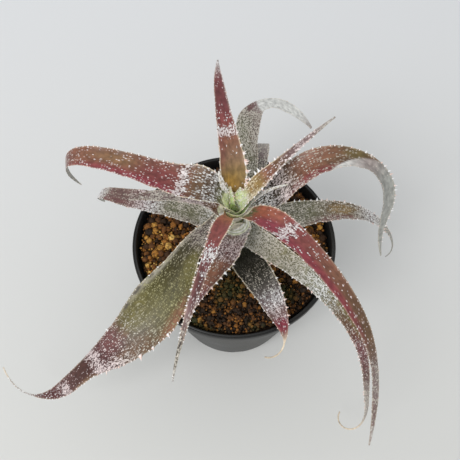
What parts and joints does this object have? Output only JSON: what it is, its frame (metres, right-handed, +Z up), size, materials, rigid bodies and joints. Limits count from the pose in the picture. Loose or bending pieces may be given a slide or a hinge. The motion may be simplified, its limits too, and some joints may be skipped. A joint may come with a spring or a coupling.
{
  "type": "potted orthophytum",
  "caption": "Potted bromeliad: a rosette of arching, spiny-edged, scurfy leaves on a short leaning stem, in a round slotted nursery pot filled with granular soil.",
  "frame": {"origin": "centre of the pot's base, on the surface that the pot stands on", "axes": "+Z up the pot's axis; +X to the right and -Y to the front, where the two long drooping leaves hang to the right and the broad leaf to the left; the crown leans back, towards +Y"},
  "size_m": [0.2221, 0.1783, 0.1503],
  "materials": {
    "pot_plastic": "satin",
    "soil_granules": "matte",
    "stem_bark": "matte",
    "leaf_skin": "satin",
    "young_leaf_skin": "satin"
  },
  "bodies": {
    "root": {"pot": "pot_plastic", "soil": "soil_granules", "stem": "stem_bark", "leaf_back_upright": "leaf_skin", "leaf_left_arching": "leaf_skin", "leaf_left_low": "leaf_skin", "leaf_left_short": "leaf_skin", "leaf_front_left_broad": "leaf_skin", "leaf_front_slender": "leaf_skin", "leaf_front_short": "leaf_skin", "leaf_front_lowest": "leaf_skin", "leaf_front_right_low": "leaf_skin", "leaf_front_right_long": "leaf_skin", "leaf_right_low": "leaf_skin", "leaf_right_arching": "leaf_skin", "leaf_back_right_slender": "leaf_skin", "leaf_back_hooked": "leaf_skin", "leaf_back_low": "leaf_skin", "leaf_young_left": "young_leaf_skin", "leaf_young_right": "young_leaf_skin", "leaf_heart_1": "young_leaf_skin", "leaf_heart_2": "young_leaf_skin", "leaf_heart_3": "young_leaf_skin", "leaf_heart_4": "young_leaf_skin", "leaf_heart_5": "young_leaf_skin"}
  },
  "joints": []
}
